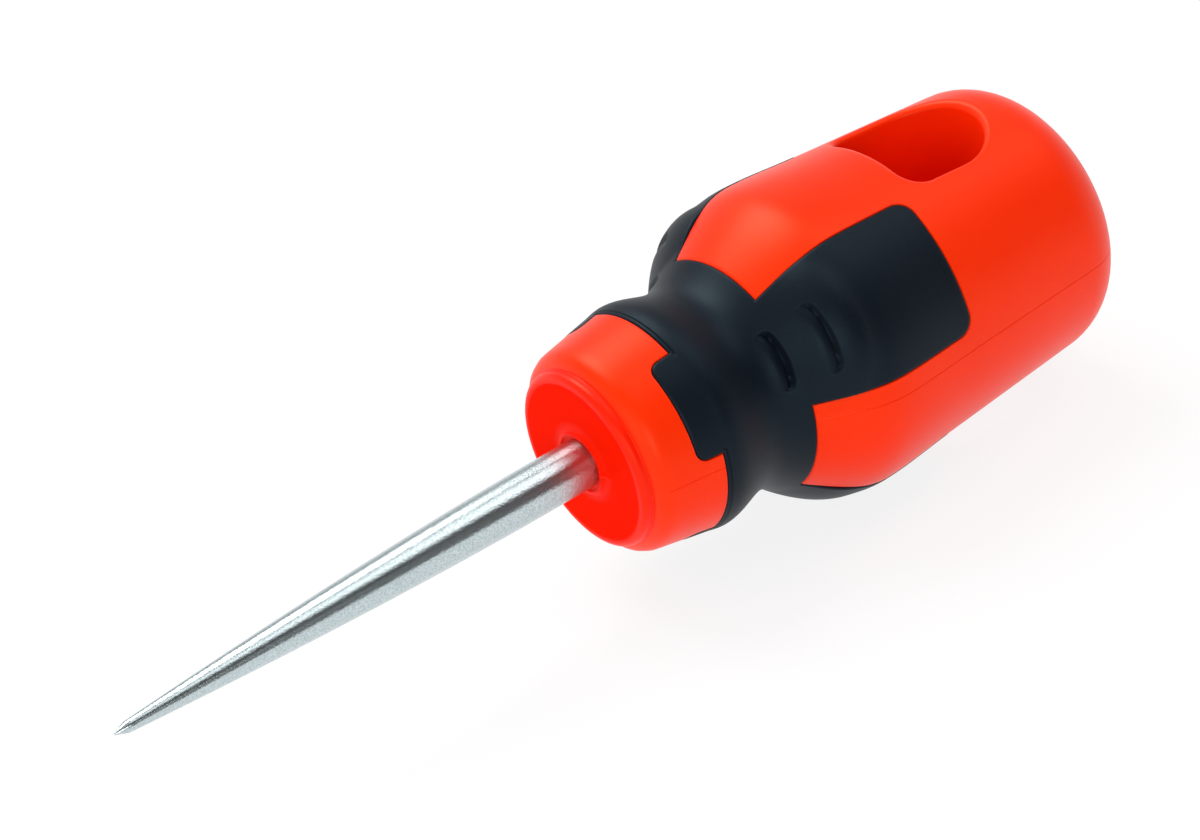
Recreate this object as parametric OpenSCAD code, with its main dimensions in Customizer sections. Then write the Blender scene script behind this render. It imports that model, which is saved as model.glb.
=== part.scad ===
// Stubby-handled awl: a steel blade in a two-shot hard handle with a soft overmoulded grip.
// The blade runs along X with its point towards -X. The origin is on the axis, where the blade
// enters the moulded lip of the handle. The hanging slot runs along Z.

/* [Blade] */
// Diameter of the blade where it enters the handle
blade_d = 5; // [4:0.1:6]
// Length of the blade outside the handle, point included
blade_len = 53.3; // [40:0.1:80]
// Length of the parallel shank next to the handle
shank_len = 5; // [3:0.5:12]
// Diameter of the blade half way along its taper
taper_mid_d = 3.82; // [3.3:0.02:3.9]
// Length of the ground point
point_len = 1.3; // [0.8:0.1:3]
// Diameter at the shoulder of the ground point
point_d = 1.16; // [0.8:0.02:1.8]
// Diameter of the blunted end of the point
point_end_d = 0.2; // [0.1:0.02:0.5]

/* [Tang] */
// Diameter of the tang inside the handle
tang_d = 4.6; // [3:0.1:5]
// Length of the tang inside the handle
tang_len = 31; // [28:0.5:33]
// Distance from the lip to the forged wings
wing_x = 19; // [17:0.5:20]
// Length of the wings along the tang
wing_len = 8; // [4:0.5:9]
// Span of the wings across the tang
wing_span = 11; // [8:0.5:14]
// Thickness of the wings
wing_t = 1.6; // [1:0.1:2.5]

/* [Handle outline] */
// Length of the handle from its nose disc to its tail
handle_len = 60.5; // [58:0.5:66]
// Diameter of the nose at its front face
nose_d = 20.92; // [20.4:0.02:21.4]
// Edge radius of the nose
nose_edge = 2.4; // [1:0.1:2.6]
// Distance from the nose disc to the collar rim
rim_x = 9.8; // [9.2:0.1:10.4]
// Diameter of the handle at the collar rim
rim_d = 24.08; // [23.6:0.02:24.6]
// Distance from the nose disc to the waist
waist_x = 15; // [14.4:0.1:15.6]
// Diameter of the handle at the waist
waist_d = 21.84; // [21:0.02:22.6]
// Distance from the nose disc to the steepest place of the flank
flank_x = 19.7; // [19:0.1:20.4]
// Diameter of the handle at the steepest place of the flank
flank_d = 26.44; // [25.6:0.02:27.4]
// Slope of the flank there
flank_slope = 0.66; // [0.5:0.02:0.9]
// Distance from the nose disc to the shoulder
shoulder_x = 24; // [23.4:0.1:24.6]
// Diameter of the handle at the shoulder
shoulder_d = 31.44; // [31:0.02:32]
// Slope of the shoulder
shoulder_slope = 0.45; // [0.3:0.05:0.6]
// Distance from the nose disc to the thickest place
belly_x = 27.3; // [26.6:0.1:28.4]
// Diameter of the handle at its thickest place
belly_d = 32.84; // [32.6:0.02:34]
// Distance from the nose disc to the start of the straight taper
taper_x = 36; // [34:0.5:38]
// Diameter of the handle at the start of the straight taper
taper_d = 31.6; // [31:0.02:32.2]
// Diameter that the straight taper would reach at the tail
tail_d = 28.2; // [26:0.1:30]
// Edge radius of the tail
tail_edge = 6.5; // [4:0.1:8]
// Crown radius of the tail
tail_crown = 70; // [45:1:120]

/* [Nose disc and core] */
// Height of the lip round the blade above the nose disc
lip_h = 0.3; // [0.1:0.05:0.6]
// Diameter of the lip at its front
lip_d = 6.6; // [6.2:0.1:8]
// Width of the lip's sloping flank
lip_flank = 0.4; // [0.2:0.1:1]
// Diameter of the nose disc
disc_d = 18.2; // [16:0.1:18.6]
// How far the nose disc stands proud of the nose
disc_h = 0.75; // [0.6:0.05:1.2]
// Edge radius of the nose disc
disc_edge = 0.5; // [0.2:0.05:0.6]
// Diameter of the core's neck
neck_d = 13.2; // [11:0.1:14]
// Diameter of the core's body behind the neck
core_d = 20; // [18:0.1:22]
// Distance from the nose disc to the start of the core's swell
swell_x = 18; // [17:0.1:18.5]
// Distance from the nose disc to the end of the core's swell
swell_end_x = 22.5; // [21.5:0.1:24]
// Length of the core
core_len = 35.5; // [34:0.1:37]
// Edge radius at the core's rear end
core_edge = 2; // [1:0.1:3]
// Number of keyways along the core's body
keyways = 4; // [3:1:6]
// Width of a keyway
keyway_w = 3; // [2:0.1:4]
// Depth of a keyway
keyway_depth = 2; // [1:0.1:2.5]

/* [Hanging slot] */
// Distance from the nose disc to the front end of the slot
slot_x = 39.1; // [38.6:0.1:41]
// Distance from the nose disc to the round rear end of the slot
slot_end_x = 52.2; // [50:0.1:54]
// Width of the slot
slot_w = 13; // [10:0.1:15]
// Corner radius at the front end of the slot
slot_corner = 2.3; // [1:0.1:4]

/* [Soft grip] */
// Depth of the grip's bed in the handle
grip_bed = 1.8; // [1.2:0.1:2]
// How far the grip stands proud of the handle away from its cushions
grip_proud = 0.1; // [0.05:0.05:0.3]
// Distance from the nose disc to the front of the tabs
tab_x = 5.6; // [4.6:0.1:6.6]
// Corner radius of the tabs
tab_corner = 1.2; // [0.6:0.1:1.8]
// Distance from the nose disc to the front of the collar
collar_x = 8.2; // [7.6:0.05:8.8]
// Distance from the nose disc to the rear of the collar
collar_end_x = 18.8; // [18.2:0.1:19.4]
// Distance from the nose disc to the rear of the pads
pad_end_x = 36.9; // [30:0.1:38]
// Corner radius of the pads
pad_corner = 1.8; // [1:0.1:3]
// Angle between the slot and the middle of a side pad
side_pad_at = 55.5; // [52:0.5:60]
// Half of the angle that a side pad covers
side_pad_half = 27.2; // [22:0.1:30]
// Half of the angle that the bottom pad covers
bottom_pad_half = 43; // [30:0.5:46]
// Distance from the nose disc to the highest place of a side pad's cushion
cushion_x = 21.8; // [21.4:0.1:22.4]
// Length of a side pad's cushion
cushion_len = 7.8; // [7:0.1:8.4]
// How far a cushion stands above the handle in the middle of its pad
cushion_h = 1.1; // [0.7:0.05:1.4]
// How far a cushion stands above the handle at the sides of its pad
cushion_side_h = 0.28; // [0.1:0.02:0.4]
// Depth of the finger grooves
groove_depth = 0.55; // [0.4:0.05:0.7]
// Distance from the nose disc to the front finger groove
groove_front_x = 17.6; // [17.2:0.05:17.8]
// Width of the front finger groove
groove_front_w = 1.3; // [1.2:0.1:1.6]
// Length of the front finger groove round its pad
groove_front_len = 6.1; // [4:0.1:8]
// Distance from the nose disc to the rear finger groove
groove_rear_x = 21.7; // [21.2:0.05:22.2]
// Width of the rear finger groove
groove_rear_w = 1.6; // [1.3:0.1:2]
// Length of the rear finger groove round its pad
groove_rear_len = 7.3; // [5:0.1:9]

/* [Hidden] */
$fn = 64;

// Length of one straight step along a curved outline
curve_step = 1;
// Angle of one straight step along a rounded edge
arc_step = 15;
// Number of straight steps along the crown
crown_steps = 4;
// Overlap that keeps cutting faces apart
spare = 1;
// How far a round cut passes a face that it would otherwise only graze
graze = 0.01;
// Radius that lies outside the whole handle
reach = belly_d/2 + cushion_h + 4*spare;
// Angles of the two side pads from the slot
side_pads = [side_pad_at, -side_pad_at];

// Slopes of the nose cone and of the straight taper towards the tail
nose_slope = (rim_d - nose_d)/2/(rim_x - disc_h);
taper_slope = (tail_d - taper_d)/2/(handle_len - taper_x);

// Stations of the outline: distance from the nose disc, radius and slope
stations = [
    [disc_h, nose_d/2, nose_slope],
    [collar_x, nose_d/2 + nose_slope*(collar_x - disc_h), nose_slope],
    [rim_x, rim_d/2, 0],
    [waist_x, waist_d/2, 0],
    [flank_x, flank_d/2, flank_slope],
    [shoulder_x, shoulder_d/2, shoulder_slope],
    [belly_x, belly_d/2, 0],
    [taper_x, taper_d/2, taper_slope],
    [handle_len, tail_d/2, taper_slope],
];

// Index of the stretch between stations that holds x
function stretch(x, i = 0) = i == len(stations) - 2 || x <= stations[i + 1][0] ? i : stretch(x, i + 1);

// Cubic through two stations with their slopes, at x
function cubic(a, b, x) =
    let (w = b[0] - a[0], t = (x - a[0])/w)
    a[1]*(2*t^3 - 3*t^2 + 1) + b[1]*(3*t^2 - 2*t^3) + w*(a[2]*(t^3 - 2*t^2 + t) + b[2]*(t^3 - t^2));

// Radius of the bare handle at a distance x from the nose disc
function handle_r(x) = let (i = stretch(x)) cubic(stations[i], stations[i + 1], x);

// Distances in even steps from a to b
function steps(a, b, step) = let (n = ceil((b - a)/step)) [for (i = [0:n]) a + (b - a)*i/n];

// Arc of radius r about [cx, cy] from angle a to angle b
function arc(cx, cy, r, a, b) =
    let (n = max(2, ceil(abs(b - a)/arc_step)))
    [for (i = [0:n]) let (w = a + (b - a)*i/n) [cx + r*cos(w), cy + r*sin(w)]];

// Rounded front edge of the nose, tangent to its face and to its cone
nose_arc_x = disc_h + nose_edge;
nose_arc_r = nose_d/2 + nose_slope*nose_edge - nose_edge*sqrt(1 + nose_slope^2);
nose_arc = arc(nose_arc_x, nose_arc_r, nose_edge, 180, 90 + atan(nose_slope));

// Rounded rear edge of the tail, tangent to the straight taper and to the crown
crown_x = handle_len - tail_crown;
taper_inset = taper_d/2 - taper_slope*taper_x - tail_edge*sqrt(1 + taper_slope^2);
half_b = taper_inset*taper_slope - crown_x;
rest_c = crown_x^2 + taper_inset^2 - (tail_crown - tail_edge)^2;
tail_arc_x = (-half_b + sqrt(half_b^2 - (1 + taper_slope^2)*rest_c))/(1 + taper_slope^2);
tail_arc_r = taper_inset + taper_slope*tail_arc_x;
crown_angle = atan2(tail_arc_r, tail_arc_x - crown_x);
tail_arc = arc(tail_arc_x, tail_arc_r, tail_edge, 90 + atan(taper_slope), crown_angle);
crown_arc = [for (i = [1:crown_steps])
    let (w = crown_angle*(1 - i/crown_steps))
    [crown_x + tail_crown*cos(w), tail_crown*sin(w)]];

// Half outline of the bare handle, from the nose face round to the tail
side_x = steps(nose_arc[len(nose_arc) - 1][0], tail_arc[0][0], curve_step);
handle_outline = concat(
    [[disc_h, 0]],
    nose_arc,
    [for (i = [1:len(side_x) - 2]) [side_x[i], handle_r(side_x[i])]],
    tail_arc,
    crown_arc
);

// Distances at which the grip's surfaces are worked out, past both of its ends
grip_x = steps(tab_x - spare, pad_end_x + spare, curve_step);
// Distances at which a cushion's surface is worked out, past the ends where it sinks into the grip
cushion_steps = steps(cushion_x - (cushion_len + spare)/2, cushion_x + (cushion_len + spare)/2, curve_step);

// Radius of a cushion in the middle of its pad
function cushion_r(x) = handle_r(x) + cushion_h*(1 - (2*(x - cushion_x)/cushion_len)^2);

// How far a cushion's axis lies off the handle's axis: its round section then passes through both of
// its heights, in the middle and at the sides of its pad
cushion_mid_r = handle_r(cushion_x) + cushion_h;
cushion_side_r = handle_r(cushion_x) + cushion_side_h;
cushion_shift = (cushion_mid_r^2 - cushion_side_r^2)/2/(cushion_mid_r - cushion_side_r*cos(side_pad_half));

// Turns a half outline of [distance, radius] points round the X axis
module turned(points) {
    rotate([0, 90, 0])
        rotate_extrude()
            polygon([for (p = points) [p[1], p[0]]]);
}

// Turns the space between the X axis and an outline
module turned_solid(points) {
    turned(concat([[points[0][0], 0]], points, [[points[len(points) - 1][0], 0]]));
}

// Moves what is measured from the nose disc to its place behind the lip
module behind_lip() {
    translate([lip_h, 0, 0])
        children();
}

// Wedge with its edge on the axis, open upwards, from one distance to another
module wedge(from_x, to_x, half) {
    translate([from_x, 0, 0])
        rotate([0, 90, 0])
            linear_extrude(to_x - from_x)
                polygon([[0, 0], [-reach, reach*tan(half)], [-reach, -reach*tan(half)]]);
}

// What a rounded corner leaves out, with its walls on y = 0 and x = 0
module corner_cut(r) {
    translate([-r, -r, 0])
        difference() {
            cube([r + spare, r + spare, 2*reach]);
            translate([0, 0, -spare])
                cylinder(h = 2*reach + 2*spare, r = r + graze);
        }
}

// Place of one pad with its tab: a wedge with rounded corners
module pad_place(half) {
    difference() {
        wedge(tab_x, pad_end_x, half);
        for (side = [0, 1])
            mirror([0, side, 0])
                rotate([-half, 0, 0]) {
                    translate([pad_end_x, 0, 0])
                        corner_cut(pad_corner);
                    translate([tab_x, 0, 0])
                        mirror([1, 0, 0])
                            corner_cut(tab_corner);
                }
    }
}

// Place of the whole grip: the collar with its pads and tabs
module grip_place() {
    translate([collar_x, 0, 0])
        rotate([0, 90, 0])
            cylinder(h = collar_end_x - collar_x, r = reach);
    for (at = side_pads)
        rotate([at, 0, 0])
            pad_place(side_pad_half);
    rotate([180, 0, 0])
        pad_place(bottom_pad_half);
}

// Room for the grip: its place in the layer from the bed to well outside the handle
module grip_room() {
    bed = [for (x = grip_x) [x, handle_r(x) - grip_bed]];
    outside = [for (i = [len(grip_x) - 1:-1:0]) [grip_x[i], handle_r(grip_x[i]) + 2*spare]];
    intersection() {
        turned(concat(bed, outside));
        grip_place();
    }
}

// Outer form of the grip: the handle's outline with a cushion on each side pad
module grip_form() {
    turned_solid([for (x = grip_x) [x, handle_r(x) + grip_proud]]);
    for (at = side_pads)
        rotate([at, 0, 0])
            translate([0, 0, cushion_shift])
                turned_solid([for (x = cushion_steps) [x, cushion_r(x) - cushion_shift]]);
}

// Finger groove across a pad, on a path of radius r: part of a circle in section, with round ends that
// lie within its length
module finger_groove(r, width, length) {
    cut_r = (width^2/4 + groove_depth^2)/2/groove_depth;
    path_r = r + cut_r - groove_depth;
    turn = (length - width)/2/r*180/PI;
    rotate([0, 90, 0]) {
        rotate_extrude(angle = 2*turn, start = 180 - turn)
            translate([path_r, 0])
                circle(r = cut_r);
        for (side = [-1, 1])
            rotate(180 + side*turn)
                translate([path_r, 0, 0])
                    sphere(r = cut_r + graze);
    }
}

// Both finger grooves of a side pad: the front one before the cushion, the rear one across it
module finger_grooves() {
    translate([groove_front_x, 0, 0])
        finger_groove(handle_r(groove_front_x) + grip_proud, groove_front_w, groove_front_len);
    translate([groove_rear_x, 0, cushion_shift])
        finger_groove(cushion_r(groove_rear_x) - cushion_shift, groove_rear_w, groove_rear_len);
}

// Hanging slot: straight front end with rounded corners, round rear end
module slot_cut() {
    end_r = slot_w/2;
    translate([0, 0, -reach])
        linear_extrude(2*reach) {
            translate([slot_end_x - end_r, 0])
                circle(r = end_r);
            translate([slot_x + slot_corner, -end_r])
                square([slot_end_x - end_r - slot_x - slot_corner, slot_w]);
            translate([slot_x, slot_corner - end_r])
                square([slot_end_x - end_r - slot_x, slot_w - 2*slot_corner]);
            for (side = [-1, 1])
                translate([slot_x + slot_corner, side*(end_r - slot_corner)])
                    circle(r = slot_corner);
        }
}

// Tang with its two forged wings, which keep the blade from turning or pulling out
module tang() {
    rotate([0, 90, 0])
        cylinder(h = tang_len, d = tang_d);
    translate([wing_x, -wing_span/2, -wing_t/2])
        cube([wing_len, wing_span, wing_t]);
}

// Core with its disc and lip, before the tang's hollow is taken out
module core_body() {
    disc_arc = arc(disc_edge, disc_d/2 - disc_edge, disc_edge, 180, 90);
    rear_arc = arc(core_len - core_edge, core_d/2 - core_edge, core_edge, 90, 0);
    difference() {
        behind_lip()
            turned(concat(
                [[-lip_h, 0], [-lip_h, lip_d/2], [0, lip_d/2 + lip_flank]],
                disc_arc,
                [[disc_h, disc_d/2], [disc_h, neck_d/2], [swell_x, neck_d/2], [swell_end_x, core_d/2]],
                rear_arc,
                [[core_len, 0]]
            ));
        for (i = [0:keyways - 1])
            rotate([360*(i + 0.5)/keyways, 0, 0])
                translate([lip_h + swell_x, -keyway_w/2, core_d/2 - keyway_depth])
                    cube([core_len, keyway_w, keyway_depth + spare]);
    }
}

module blade() {
    taper_len = blade_len - point_len - shank_len;
    taper_steps = steps(0, 1, 1/16);
    swell = ln((blade_d - taper_mid_d)/(blade_d - point_d))/ln(0.5);
    taper = [for (t = taper_steps)
        [taper_len*t - shank_len - taper_len, blade_d/2 - (blade_d - point_d)/2*(1 - t)^swell]];
    color("lightsteelblue") {
        turned(concat([[-blade_len, 0], [-blade_len, point_end_d/2]], taper, [[0, blade_d/2], [0, 0]]));
        tang();
    }
}

module handle_core() {
    color("orangered")
        difference() {
            core_body();
            tang();
        }
}

module handle_shell() {
    color("tomato")
        difference() {
            behind_lip()
                difference() {
                    turned(handle_outline);
                    grip_room();
                    slot_cut();
                }
            core_body();
        }
}

module grip() {
    color("#22262b")
        behind_lip()
            difference() {
                intersection() {
                    grip_room();
                    grip_form();
                }
                for (at = side_pads)
                    rotate([at, 0, 0])
                        finger_grooves();
            }
}

blade();
handle_core();
handle_shell();
grip();
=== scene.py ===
# %% [markdown]
# # A stubby awl with a two-colour handle
# The object is a short scratch awl. It has a tapered steel blade, an orange core that is moulded round
# the blade's tang and shows as a disc at the nose, a thick orange shell moulded over the core, and a
# soft black grip moulded into a bed in the shell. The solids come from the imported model, and this script
# dresses each of them with a finer surface and a procedural material. All lengths below are in
# millimetres until a mesh is made.

import bpy
import numpy as np
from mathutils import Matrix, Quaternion, Vector


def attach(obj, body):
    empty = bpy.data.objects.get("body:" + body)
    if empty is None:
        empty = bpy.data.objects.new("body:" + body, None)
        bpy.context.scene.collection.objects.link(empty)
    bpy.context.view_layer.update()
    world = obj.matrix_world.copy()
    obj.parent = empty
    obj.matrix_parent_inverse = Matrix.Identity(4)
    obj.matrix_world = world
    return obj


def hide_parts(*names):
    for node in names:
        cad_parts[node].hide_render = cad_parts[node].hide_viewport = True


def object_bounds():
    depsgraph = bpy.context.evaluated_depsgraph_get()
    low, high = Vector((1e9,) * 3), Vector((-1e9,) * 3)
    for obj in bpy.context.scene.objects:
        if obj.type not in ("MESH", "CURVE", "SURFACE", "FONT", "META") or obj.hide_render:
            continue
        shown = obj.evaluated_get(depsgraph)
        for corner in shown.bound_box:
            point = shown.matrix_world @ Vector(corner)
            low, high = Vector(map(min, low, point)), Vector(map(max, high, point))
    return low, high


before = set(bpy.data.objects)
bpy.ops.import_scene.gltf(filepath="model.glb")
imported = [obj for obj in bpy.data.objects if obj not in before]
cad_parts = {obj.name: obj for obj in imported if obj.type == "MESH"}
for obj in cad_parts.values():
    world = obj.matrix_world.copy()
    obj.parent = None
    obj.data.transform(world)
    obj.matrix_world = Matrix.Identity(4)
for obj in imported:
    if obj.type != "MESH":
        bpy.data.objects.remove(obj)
cad_box = [list(corner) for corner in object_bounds()]
print("CAD box in metres:", np.round(cad_box, 4).tolist())

# %% [markdown]
# ## The camera
# The photograph looks down on the tool from its front left. The place was found by laying the outline of
# a turned handle over the photograph, with a long lens on a camera about 35 cm away. Angles are easier to
# read than a matrix, so the camera is placed by azimuth, elevation and distance about the point that it
# aims at, and then rolled about its own axis.

# %% Camera at the photograph's viewing angle
MM = 0.001
camera_aim = Vector((4.13, 1.56, 2.18)) * MM
camera_azimuth = np.radians(-122.35)
camera_elevation = np.radians(32.49)
camera_distance = 351.36 * MM
camera_roll = np.radians(-11.12)
lens_length = 110.06

camera_data = bpy.data.cameras.new("camera")
camera_data.lens = lens_length
camera = bpy.data.objects.new("camera", camera_data)
bpy.context.collection.objects.link(camera)
outward = Vector((
    np.cos(camera_azimuth) * np.cos(camera_elevation),
    np.sin(camera_azimuth) * np.cos(camera_elevation),
    np.sin(camera_elevation),
))
camera.location = camera_aim + outward * camera_distance
camera.rotation_mode = "QUATERNION"
camera.rotation_quaternion = outward.to_track_quat("Z", "Y") @ Quaternion((0, 0, 1), camera_roll)
bpy.context.scene.camera = camera
print("Camera at", [round(c, 4) for c in camera.location])

# %% [markdown]
# ## The handle's outline
# Seen from the side the bare handle is one smooth curve: a conical nose, the rim of the collar, a waist
# for the fingertips, a steep flank, the belly, and a straight taper to the tail. A few stations with
# a radius and a slope describe it, joined by cubics that meet in both, which is how a draughtsman would
# set out such a curve. Distances run from the face of the nose disc towards the tail.

# %% Radius of the bare handle
nose_face_x = 1.05
nose_radius = 10.51
nose_edge = 1.8
collar_front_x = 8.2
handle_length = 60.5
tail_radius = 14.1
rim_x = 9.8
rim_radius = 12.04
taper_x = 36.0
taper_radius = 15.8
belly_x = 27.3
nose_slope = (rim_radius - nose_radius) / (rim_x - nose_face_x)
taper_slope = (tail_radius - taper_radius) / (handle_length - taper_x)
collar_front_radius = nose_radius + nose_slope * (collar_front_x - nose_face_x)

stations = {
    "nose": (nose_face_x, nose_radius, nose_slope),
    "collar front": (collar_front_x, collar_front_radius, nose_slope),
    "collar rim": (rim_x, rim_radius, 0.0),
    "waist": (15.0, 10.92, 0.0),
    "flank": (19.7, 13.22, 0.66),
    "shoulder": (24.0, 15.72, 0.45),
    "belly": (belly_x, 16.41, 0.0),
    "taper": (taper_x, taper_radius, taper_slope),
    "tail": (handle_length, tail_radius, taper_slope),
}
station_x, station_r, station_slope = np.array(list(stations.values())).T


def handle_radius(x):
    """Radius at x: the cubic between the two stations about x that meets their radii and slopes."""
    i = np.clip(np.searchsorted(station_x, x, side="right") - 1, 0, len(station_x) - 2)
    width = station_x[i + 1] - station_x[i]
    t = (x - station_x[i]) / width
    ends = station_r[i] * (2 * t**3 - 3 * t**2 + 1) + station_r[i + 1] * (3 * t**2 - 2 * t**3)
    slopes = station_slope[i] * (t**3 - 2 * t**2 + t) + station_slope[i + 1] * (t**3 - t**2)
    return ends + width * slopes


print("Belly diameter:", round(2 * float(handle_radius(belly_x)), 2), "mm")

# %% [markdown]
# The nose has a rounded front edge and the tail a wide round edge under a slightly domed crown. Both are
# arcs that run smoothly into the curve above. A bevel on a plain mesh would give similar edges, but arcs
# keep their exact radius. The whole half outline is sampled finely once, together with the length along
# it, so that later steps can place grid lines anywhere on it.

# %% Half outline of the shell from the nose face to the tail
tail_edge = 6.5
tail_crown = 70.0
neck_radius = 6.6
fine_samples = 60
side_samples = 1200


def arc(centre_x, centre_r, radius, start, end):
    """Points [x, r] on a circle about a centre, from one angle in degrees to another."""
    angle = np.radians(np.linspace(start, end, fine_samples))
    return np.stack([centre_x + radius * np.cos(angle), centre_r + radius * np.sin(angle)], axis=1)


nose_arc = arc(
    nose_face_x + nose_edge,
    nose_radius + nose_slope * nose_edge - nose_edge * np.hypot(1, nose_slope),
    nose_edge,
    180,
    90 + np.degrees(np.arctan(nose_slope)),
)

# The tail arc's centre lies one edge radius inside the taper and one edge radius inside the crown.
crown_x = handle_length - tail_crown
inset = taper_radius - taper_slope * taper_x - tail_edge * np.hypot(1, taper_slope)
square_term = 1 + taper_slope**2
half_term = inset * taper_slope - crown_x
rest_term = crown_x**2 + inset**2 - (tail_crown - tail_edge) ** 2
tail_arc_x = (np.sqrt(half_term**2 - square_term * rest_term) - half_term) / square_term
tail_arc_r = inset + taper_slope * tail_arc_x
crown_angle = np.degrees(np.arctan2(tail_arc_r, tail_arc_x - crown_x))
tail_arc = arc(tail_arc_x, tail_arc_r, tail_edge, 90 + np.degrees(np.arctan(taper_slope)), crown_angle)
crown_arc = arc(crown_x, 0, tail_crown, crown_angle, 0)

side_x = np.linspace(nose_arc[-1, 0], tail_arc[0, 0], side_samples)
side = np.stack([side_x, handle_radius(side_x)], axis=1)
outline = np.concatenate([[[nose_face_x, neck_radius]], nose_arc, side[1:-1], tail_arc, crown_arc[1:]])
outline_x, outline_r = outline.T
outline_length = np.concatenate([[0], np.cumsum(np.hypot(*np.diff(outline, axis=0).T))])


def outline_radius(x):
    """Radius of the shell's outer side at x, with its rounded nose edge and tail."""
    return np.interp(x, outline_x, outline_r)


print("Outline length:", round(outline_length[-1], 1), "mm")
print("The tail's arc starts at", round(tail_arc[0, 0], 1), "mm")

# %% [markdown]
# ## Grid lines that follow the edges
# The grip's outline runs almost everywhere either round the handle or straight along it, so a grid of
# rings and lengthwise lines can have a line exactly on every edge. Lines are close together at the edges,
# where small radii need them, and wide apart on the plain stretches. Cutting the grip out of the handle
# with a boolean would be the other way, but it leaves long thin triangles that spoil a soft highlight.

# %% Places of the grip, its finger grooves and the slot
tab_x = 5.6
ring_groove_at = 0.42
collar_rear_x = 18.8
pad_rear_x = 36.9
side_pad_at = 55.5
side_pad_half = 27.2
bottom_pad_at = 180.0
bottom_pad_half = 43.0
pads = (
    (side_pad_at, side_pad_half),
    (-side_pad_at, side_pad_half),
    (bottom_pad_at, bottom_pad_half),
)
groove_front_x = 17.6
groove_front_half_width = 0.65
groove_rear_x = 21.2
groove_rear_half_width = 0.75
groove_at = 57.0
groove_turn = 13.5
slot_front_x = 39.1
slot_rear_x = 52.2
slot_half = 6.5
slot_corner = 2.3
slot_fillet = 0.9
slot_mouth_front_x = slot_front_x - slot_fillet
slot_mouth_rear_x = slot_rear_x + slot_fillet
slot_mouth_half = slot_half + slot_fillet
slot_mouth_angle = float(np.degrees(np.arcsin(slot_mouth_half / outline_radius(slot_mouth_front_x))))
print("The slot's mouth reaches", round(slot_mouth_angle, 1), "degrees to each side")

# %% Rings
probe_count = 400
line_growth = 0.22
edge_step = 0.05
soft_step = 0.14
plain_step = 0.7


def graded_lines(marks, widest):
    """Line places from the first mark to the last. marks maps a place to the spacing wanted there. Away
    from the marks the spacing grows by the share line_growth of the distance, up to widest."""
    places = np.array(sorted(marks))
    lines = [places[:1]]
    for start, end in zip(places[:-1], places[1:]):
        probe = np.linspace(start, end, probe_count)
        rising = marks[start] + line_growth * (probe - start)
        falling = marks[end] + line_growth * (end - probe)
        density = 1 / np.minimum(np.minimum(rising, falling), widest)
        count = np.concatenate([[0], np.cumsum((density[1:] + density[:-1]) / 2 * np.diff(probe))])
        steps = int(np.ceil(count[-1]))
        lines.append(np.interp(np.linspace(0, count[-1], steps + 1)[1:], count, probe))
    return np.concatenate(lines)


ring_marks = {
    tab_x: edge_step,
    collar_front_x: edge_step,
    collar_front_x + ring_groove_at: edge_step,
    collar_rear_x: edge_step,
    pad_rear_x: edge_step,
    groove_front_x: soft_step,
    groove_front_x + groove_front_half_width: edge_step,
    groove_rear_x: soft_step,
    groove_rear_x + groove_rear_half_width: edge_step,
    slot_mouth_front_x: 2 * soft_step,
    slot_mouth_rear_x: 2 * soft_step,
}
side_part = slice(fine_samples, None)
length_marks = {
    float(np.interp(x, outline_x[side_part], outline_length[side_part])): step
    for x, step in ring_marks.items()
}
length_marks[0.0] = 2 * plain_step
length_marks[outline_length[-1]] = plain_step
ring_length = graded_lines(length_marks, plain_step)
ring_x = np.interp(ring_length, outline_length, outline_x)
ring_r = np.interp(ring_length, outline_length, outline_r)
print(len(ring_x), "rings")

# %% Lengthwise lines
edge_turn = 0.2
soft_turn = 0.4
plain_turn = 1.5
line_marks = {
    0.0: plain_turn,
    side_pad_at - side_pad_half: edge_turn,
    slot_mouth_angle: edge_turn,
    bottom_pad_half: edge_turn,
    groove_at - groove_turn: soft_turn,
    groove_at + groove_turn: soft_turn,
    side_pad_at + side_pad_half: edge_turn,
    90.0: edge_turn,
}
quarter_lines = graded_lines(line_marks, plain_turn)
half_lines = np.concatenate([-quarter_lines[:0:-1], quarter_lines])
line_angle = np.concatenate([half_lines[:-1], 180 - half_lines[:0:-1]])
print(len(line_angle), "lengthwise lines")

# %% [markdown]
# The pads and the slot have rounded corners. Instead of cutting cells, the lines are bent: the square
# block in front of a corner is pressed into a quarter disc, so that its two outer sides become the arc,
# and the press fades out a little way outside. Angles are measured round the axis from the slot, which
# is upwards in this frame.

# %% Bend the lines round the pads' corners
tab_corner = 1.2
pad_corner = 1.8
tiny = 1e-9


def nearest_turn(angle):
    """An angle in degrees, brought between -180 and 180."""
    return (angle + 180) % 360 - 180


def press_corner(a, b, radius, fade):
    """Presses the square 0..radius of distances a, b from a corner's centre into a quarter disc: a point
    on the square of half side m goes to the circle of radius m. Outside, the press fades out over the
    length fade."""
    a_in, b_in = np.maximum(a, 0), np.maximum(b, 0)
    square = np.maximum(a_in, b_in)
    circle = np.maximum(np.hypot(a_in, b_in), tiny)
    strength = np.clip(1 + (radius - square) / fade, 0, 1)
    scale = np.where((a > 0) & (b > 0), 1 + (square / circle - 1) * strength, 1)
    return a * scale, b * scale


def from_pad_edge(x, angle, middle, half):
    """Distance across the surface into a pad from its nearer side edge, and that edge's side."""
    turn = nearest_turn(angle - middle)
    inward = np.radians(np.clip(half - np.abs(turn), -90, 90))
    return outline_radius(x) * np.sin(inward), np.where(turn < 0, -1, 1)


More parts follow.
